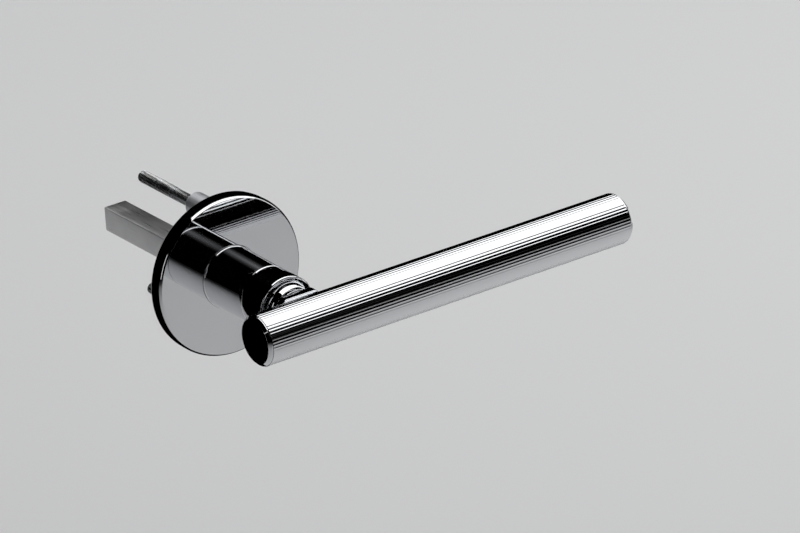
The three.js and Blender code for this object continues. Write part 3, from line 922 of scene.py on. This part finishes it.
@dataclass
class Neck:
    """The turned pieces between the rose and the bar."""

    shop: Workshop
    bore: float = 8.3 * MM
    flare: float = 0.35 * MM
    flare_lip: float = 0.05 * MM
    taper: float = 0.15 * MM
    chamfer: float = 0.45 * MM
    joint: float = 0.15 * MM
    sharp: float = 0.03 * MM
    head_edge: float = 0.6 * MM
    stem_bore: float = 2.8 * MM
    collar_foot: float = 8.35 * MM
    collar_waist: float = 6.5 * MM
    collar_end: float = 6.9 * MM
    collar_lip: float = 0.5 * MM
    collar_sweep: float = 2.8 * MM
    collar_step: float = 0.2 * MM
    bore_edge: float = 0.1 * MM
    soft_edge: float = 0.15 * MM
    step_edge: float = 0.08 * MM
    saddle_corner: float = 2 * MM
    saddle_edge: float = 0.25 * MM
    lathe: Lathe = field(default_factory=lambda: Lathe(segments=256, arc_steps=8))

    def build(self) -> None:
        """Builds and dresses the neck's pieces."""
        self.sleeve()
        self.head()
        self.collar()
        self.saddle()

    def sleeve(self) -> None:
        """The long sleeve over the hub, flared at its foot and chamfered at its front."""
        reach = Extent.of("neck_sleeve")
        rose = Extent.of("rose_cover")
        front = Extent.of("neck_head").radius
        wide = front + self.taper
        foot = rose.outer + SEAT
        turn = (wide + self.flare, foot + self.flare_lip + self.flare)
        corners = [
            Corner(self.bore, reach.inner, FINE_EDGE),
            Corner(wide, reach.inner, FINE_EDGE),
            Corner(wide, foot),
            Corner(wide + self.flare, foot),
            *(Corner(radius, along) for radius, along in arc_points(self.flare, 270, 180, 8, turn)),
            Corner(front, reach.outer - self.chamfer, FINE_EDGE),
            Corner(front - self.chamfer, reach.outer, FINE_EDGE),
            Corner(self.bore, reach.outer, FINE_EDGE),
        ]
        sleeve = self.lathe.turn("neck_sleeve_turned", corners)
        self.shop.hand_over(combine(sleeve, [grub_way()]), "neck_sleeve")

    def head(self) -> None:
        """The head in front of the sleeve, with a round front edge."""
        reach = Extent.of("neck_head")
        corners = section(self.stem_bore, reach.radius, reach.inner - self.joint, reach.outer,
                          (FINE_EDGE, self.sharp, self.head_edge, FINE_EDGE))
        head = self.lathe.turn("neck_head_turned", corners)
        dowels = [dowel_way(node) for node in (*DRIVE_DOWELS, "bar_dowel")]
        self.shop.hand_over(combine(head, dowels), "neck_head")

    def collar(self) -> None:
        """The collar: flared onto the head, waisted, and stepped out again under the saddle."""
        reach = Extent.of("stem_collar")
        foot, waist = reach.inner + self.collar_lip, reach.inner + self.collar_sweep
        wide = self.collar_foot - self.collar_waist
        flare = [Corner(self.collar_foot + wide * x, waist + (waist - foot) * z)
                 for x, z in arc_points(1, 270, 180, 16)]
        corners = [
            Corner(self.stem_bore, reach.inner, self.bore_edge),
            Corner(self.collar_foot, reach.inner, self.soft_edge),
            *flare,
            Corner(self.collar_end, waist + self.collar_step, self.step_edge),
            Corner(self.collar_end, reach.outer, self.soft_edge),
            Corner(self.stem_bore, reach.outer, self.bore_edge),
        ]
        collar = self.lathe.turn("stem_collar_turned", corners)
        self.shop.hand_over(combine(collar, [dowel_way("bar_dowel")]), "stem_collar")

    def saddle(self) -> None:
        """The block that the bar lies in, hollowed to the bar's radius."""
        reach = Extent.of("saddle_block")
        bar = Extent.of("grip_bar")
        wide, tall = reach.high.x - reach.low.x, reach.high.z - reach.low.z
        outline = rounded_rectangle(wide, tall, self.saddle_corner)
        block = bevelled(prism("saddle_block_milled", outline, reach.inner, reach.outer),
                         self.saddle_edge, 4)
        lathe = Lathe(axis=Axis.BAR, centre=(bar.centre.y, bar.centre.z), segments=256)
        seat = lathe.turn("seat", section(0, bar.radius + FIT, bar.low.x, bar.high.x))
        bolt = Lathe(segments=48).turn(
            "bolt_way", section(0, self.stem_bore, reach.inner - PAST, reach.outer + PAST))
        combine(block, [seat, bolt, dowel_way("bar_dowel")])
        self.shop.hand_over(block, "saddle_block")


# ---- the grip bar ----


@dataclass
class GripBar:
    """The fluted tube and its two end caps."""

    shop: Workshop
    bore: float = 6.6 * MM
    flutes: int = 56
    flute_depth: float = 0.078 * MM
    flute_steps: int = 16
    end_edge: float = 0.06 * MM
    cap_rim: float = 1.1 * MM
    cap_edge: float = 0.9 * MM
    cap_seam: float = 0.12 * MM
    plug_edge: float = 0.4 * MM
    face_edge: float = 0.08 * MM

    def build(self) -> None:
        """Builds and dresses the bar and its caps."""
        self.tube()
        self.cap("end_cap_left", -1)
        self.cap("end_cap_right", 1)

    def lathe(self, segments: int) -> Lathe:
        """A lathe on the bar's own axis."""
        bar = Extent.of("grip_bar")
        return Lathe(axis=Axis.BAR, centre=(bar.centre.y, bar.centre.z), segments=segments)

    def tube(self) -> None:
        """The tube, turned first and then fluted along its whole length."""
        bar = Extent.of("grip_bar")
        corners = section(self.bore, bar.radius, bar.low.x, bar.high.x, (self.end_edge,) * 4)
        piece = self.lathe(self.flutes * self.flute_steps).turn("grip_bar_fluted", corners)
        self.shop.flutes.run(piece, self.shop.material_for("grip_bar"), {
            "Axis Y": bar.centre.y, "Radius": bar.radius, "Depth": self.flute_depth,
            "Count": self.flutes,
        })
        self.shop.hand_over(piece, "grip_bar", sharp_from=30)

    def cap(self, node: str, side: int) -> None:
        """An end cap: a flat polished face with a fine chamfer, and a plug in the tube."""
        reach = Extent.of(node)
        end = reach.high.x if side > 0 else reach.low.x
        start = reach.low.x if side > 0 else reach.high.x
        plug = self.bore - FIT
        rim = end - side * (self.cap_rim + self.cap_seam)
        corners = [
            Corner(0, start), Corner(plug, start, self.plug_edge), Corner(plug, rim),
            Corner(reach.radius, rim, self.end_edge),
            Corner(reach.radius, end - side * self.cap_edge, self.face_edge),
            Corner(reach.radius - self.cap_edge, end, self.face_edge), Corner(0, end),
        ]
        self.shop.hand_over(self.lathe(256).turn(f"{node}_faced", corners), node)


# ---- the drive ----


@dataclass
class Drive:
    """The square spindle, the hub that it sits in, and the small parts that join the pieces."""

    shop: Workshop
    spindle_edge: float = 0.35 * MM
    spindle_end: float = 0.5 * MM
    journal: float = 7.4 * MM
    hub: float = 8.0 * MM
    groove: float = 0.7 * MM
    flats: float = 14.4 * MM
    stem_head: float = 3.8 * MM
    dowel_edge: float = 0.25 * MM
    stamped_edge: float = 0.1 * MM
    grub_socket: float = 2.5 * MM
    grub_socket_depth: float = 2.0 * MM

    def build(self) -> None:
        """Builds and dresses the drive's pieces."""
        self.spindle()
        self.turned_hub()
        self.stamped("retaining_circlip")
        self.stamped("driver_ring")
        self.grub_screw()
        for node in (*DRIVE_DOWELS, "bar_dowel"):
            self.shop.hand_over(round_bar(f"{node}_ground", Extent.of(node), self.dowel_edge), node)

    def spindle(self) -> None:
        """The square bar, with broken edges and a chamfered end."""
        reach = Extent.of("spindle")
        wide = reach.high.x - reach.low.x
        piece = prism("spindle_drawn", rounded_rectangle(wide, wide, self.spindle_edge, 4), reach.inner,
                      reach.outer)
        self.shop.hand_over(bevelled(piece, self.spindle_end, 4, 60), "spindle")

    def turned_hub(self) -> None:
        """The hub: a journal with a circlip groove and two flats, a square bore and a body in the neck."""
        reach = Extent.of("spindle_hub")
        clip = Extent.of("retaining_circlip")
        driver = Extent.of("driver_ring")
        bolt = Extent.of("stem_bolt")
        body = Lathe(segments=192).turn("spindle_hub_turned", [
            Corner(0, reach.inner), Corner(self.journal, reach.inner, 2 * FINE_EDGE),
            Corner(self.journal, clip.inner - SEAT), Corner(self.journal - self.groove, clip.inner - SEAT),
            Corner(self.journal - self.groove, clip.outer + SEAT), Corner(self.journal, clip.outer + SEAT),
            Corner(self.journal, driver.inner), Corner(self.hub, driver.inner, FINE_EDGE),
            Corner(self.hub, reach.outer, FINE_EDGE), Corner(0, reach.outer),
        ])
        square = Extent.of("spindle").high.x * 2 + 2 * FIT
        tools = [
            prism("square_bore", rounded_rectangle(square, square, FIT, 4),
                  reach.inner - PAST, reach.outer + PAST),
            Lathe(segments=96).turn("head_way", section(
                0, self.stem_head + FIT, bolt.inner - FIT, reach.outer + PAST)),
            grub_way(),
        ]
        for side in (-1, 1):
            middle = side * (self.flats / 2 + self.hub / 2)
            outline = [(x + middle, z) for x, z in rounded_rectangle(self.hub, 2 * self.hub, FIT, 2)]
            tools.append(prism("flat", outline, driver.inner - FIT, driver.outer + SEAT / 2))
        tools.extend(dowel_way(node) for node in DRIVE_DOWELS)
        self.shop.hand_over(combine(body, tools), "spindle_hub")

    def stamped(self, node: str) -> None:
        """A stamped piece: its own outline with rolled edges."""
        source = frame["nodes"][node]
        piece = linked(f"{node}_stamped", source.data.copy())
        piece.data.transform(source.matrix_world)
        self.shop.hand_over(bevelled(piece, self.stamped_edge, 2), node, sharp_from=40)

    def grub_screw(self) -> None:
        """The screw that holds the spindle, with a hexagon socket towards its way in."""
        reach = Extent.of("grub_screw")
        radius = (reach.high.x - reach.low.x) / 2
        screw = upright("grub_screw_cut", reach, radius, reach.low.z, reach.high.z, 2 * FINE_EDGE)
        socket = upright("socket", reach, self.grub_socket / math.sqrt(3), reach.low.z - PAST,
                         reach.low.z + self.grub_socket_depth, sides=6)
        self.shop.hand_over(combine(screw, [socket]), "grub_screw")


# ---- the studio ----


@dataclass(frozen=True)
class Lamp:
    """A soft rectangular light: its place, the point it faces, its size and its face's radiance."""

    name: str
    place: tuple[float, float, float]
    aim: tuple[float, float, float]
    size: tuple[float, float]
    radiance: float

    def build(self) -> None:
        """Adds the light, which the camera doesn't see."""
        data = bpy.data.lights.new(self.name, "AREA")
        data.shape = "RECTANGLE"
        data.size, data.size_y = self.size
        data.energy = self.radiance * math.pi * self.size[0] * self.size[1]
        lamp = linked(self.name, data)
        lamp.location = self.place
        lamp.rotation_mode = "QUATERNION"
        lamp.rotation_quaternion = (Vector(self.aim) - Vector(self.place)).to_track_quat("-Z", "Y")
        lamp.visible_camera = False


LAMPS: tuple[Lamp, ...] = (
    Lamp("overhead", (0.9, 0.27, 1.0), (0.9, 0.27, 0), (2.3, 1.9), 1.5),
    Lamp("right_side", (2.0, 0.1, 0.5), (0, 0.1, 0.2), (0.8, 0.9), 1.1),
    Lamp("left_strip", (-1.5, -0.4, 0.35), (0, 0, 0), (0.25, 0.8), 0.8),
    Lamp("behind", (0.0, 1.5, 0.4), (0, 0, 0), (1.1, 0.8), 0.9),
)


@dataclass
class Studio:
    """A matt pale floor in a dark room with soft lights, and two pieces that only reflections see."""

    floor_drop: float = 0.25
    floor_size: float = 12.0
    floor_roughness: float = 0.7
    pale: tuple[float, float, float] = (0.86, 0.865, 0.87)
    card_low: tuple[float, float] = (-0.09, -0.10)
    card_high: tuple[float, float] = (0.20, 0.06)
    card_front: float = 0.3 * MM
    card_gap: float = 0.1 * MM
    card_steps: int = 72
    glow_way: tuple[float, float, float] = (0.316, -0.762, 0.565)
    glow_distance: float = 1.5
    glow_radius: float = 0.42
    glow_radiance: float = 0.16
    glow_segments: int = 48

    def build(self) -> None:
        """Builds the floor, the world, the card, the lights and the glow."""
        self.colour_management()
        self.floor()
        self.world()
        self.card()
        for lamp in LAMPS:
            lamp.build()
        self.glow()

    def colour_management(self) -> None:
        """Shows the scene's values as they are, so that dark reflections stay dark."""
        bpy.context.scene.view_settings.view_transform = "Standard"

    def floor(self) -> None:
        """The matt floor, well below the handle, which is seen only from above."""
        body = bmesh.new()
        bmesh.ops.create_grid(body, x_segments=1, y_segments=1, size=self.floor_size / 2,
                              matrix=Matrix.Translation((0, 0, -self.floor_drop)))
        floor = object_from("floor", body)
        material, g = Graph.of_material("pale_floor")
        shader = g.node("ShaderNodeBsdfPrincipled")
        g.feed(shader, Roughness=self.floor_roughness, Base_Color=(*self.pale, 1.0))
        g.surface(shader.outputs["BSDF"])
        floor.data.materials.append(material)

    def world(self) -> None:
        """A dark room, so that the lights alone show in the chrome."""
        world = bpy.data.worlds.new("studio")
        bpy.context.scene.world = world
        world.use_nodes = True
        g = Graph(world.node_tree)
        back = g.node("ShaderNodeBackground")
        g.feed(back, Color=(0.0, 0.0, 0.0, 1.0), Strength=0.0)
        g.surface(back.outputs["Background"], "World")

    def card(self) -> None:
        """A black card near the door's plane, with a hole for the rose, seen only in reflections."""
        (left, low), (right, high), steps = self.card_low, self.card_high, self.card_steps
        quarter = steps // 4
        radius = Extent.of("rose_cover").radius + self.card_gap
        body = bmesh.new()
        hole = [body.verts.new((x, 0, z))
                for x, z in arc_points(radius, 45, 405 - 360 / steps, steps - 1)]
        corners = [body.verts.new((x, 0, z))
                   for x, z in ((right, high), (left, high), (left, low), (right, low))]
        for i, corner in enumerate(corners):
            for step in range(i * quarter, (i + 1) * quarter):
                body.faces.new([hole[step % steps], hole[(step + 1) % steps], corner])
            body.faces.new([hole[((i + 1) * quarter) % steps], corners[(i + 1) % 4], corner])
        card = object_from("door_card", body)
        card.data.transform(Matrix.Translation((0, -self.card_front, 0)))
        material, g = Graph.of_material("black_card")
        black = g.node("ShaderNodeBsdfDiffuse")
        g.feed(black, Color=(0.0, 0.0, 0.0, 1.0))
        g.surface(black.outputs["BSDF"])
        self.only_in_reflections(card, material)

    def glow(self) -> None:
        """A dim round patch of light with a soft edge, which only reflections see."""
        way = Vector(self.glow_way)
        body = bmesh.new()
        bmesh.ops.create_circle(body, cap_ends=True, segments=self.glow_segments,
                                radius=self.glow_radius)
        patch = object_from("front_glow", body)
        turn = (-way).to_track_quat("Z", "Y").to_matrix().to_4x4()
        patch.matrix_world = Matrix.Translation(way.normalized() * self.glow_distance) @ turn
        material, g = Graph.of_material("front_glow")
        mapped = g.node("ShaderNodeMapping")
        g.feed(mapped, Vector=g.node("ShaderNodeTexCoord").outputs["Object"],
               Scale=(1 / self.glow_radius,) * 3)
        fade = g.node("ShaderNodeTexGradient", gradient_type="QUADRATIC_SPHERE")
        g.feed(fade, Vector=mapped.outputs[0])
        shine = g.node("ShaderNodeEmission")
        g.feed(shine, Strength=g.math("MULTIPLY", fade.outputs["Fac"], self.glow_radiance))
        g.surface(shine.outputs["Emission"])
        self.only_in_reflections(patch, material)

    def only_in_reflections(self, piece: bpy.types.Object, material: bpy.types.Material) -> None:
        """Dresses a stage piece and hides it from everything but reflections."""
        piece.data.materials.append(material)
        piece.visible_camera = piece.visible_diffuse = False
        piece.visible_shadow = piece.visible_transmission = False


@dataclass(frozen=True)
class Viewpoint:
    """The camera: from the left and above, with a long lens."""

    azimuth: float = -33.72
    elevation: float = 23.60
    roll: float = -3.82
    distance: float = 2.0
    lens: float = 293.7
    sensor: float = 36.0
    near: float = 0.05
    far: float = 50
    aim: tuple[float, float, float] = (0.04312, -0.03396, -0.00035)

    def build(self) -> None:
        """Places the camera."""
        a, e, r = (math.radians(x) for x in (self.azimuth, self.elevation, self.roll))
        back = Vector((math.sin(a) * math.cos(e), -math.cos(a) * math.cos(e), math.sin(e)))
        level = Vector((math.cos(a), math.sin(a), 0))
        rise = back.cross(level)
        right = level * math.cos(r) + rise * math.sin(r)
        up = back.cross(right)
        data = bpy.data.cameras.new("camera")
        data.lens = self.lens
        data.sensor_width = self.sensor
        data.clip_start, data.clip_end = self.near, self.far
        camera = linked("camera", data)
        place = Vector(self.aim) + back * self.distance
        camera.matrix_world = Matrix((right, up, back)).transposed().to_4x4()
        camera.location = place
        bpy.context.scene.camera = camera


def main() -> None:
    """Builds the camera, the studio and each sub-assembly in order."""
    logging.basicConfig(level=logging.INFO, format="%(message)s")
    Viewpoint().build()
    Studio().build()
    shop = Workshop()
    for assembly in (Rose(shop), Fixings(shop), Neck(shop), GripBar(shop), Drive(shop)):
        LOG.info("building the %s", type(assembly).__name__)
        assembly.build()
    shop.dress_the_rest()


if __name__ == "__main__":
    main()
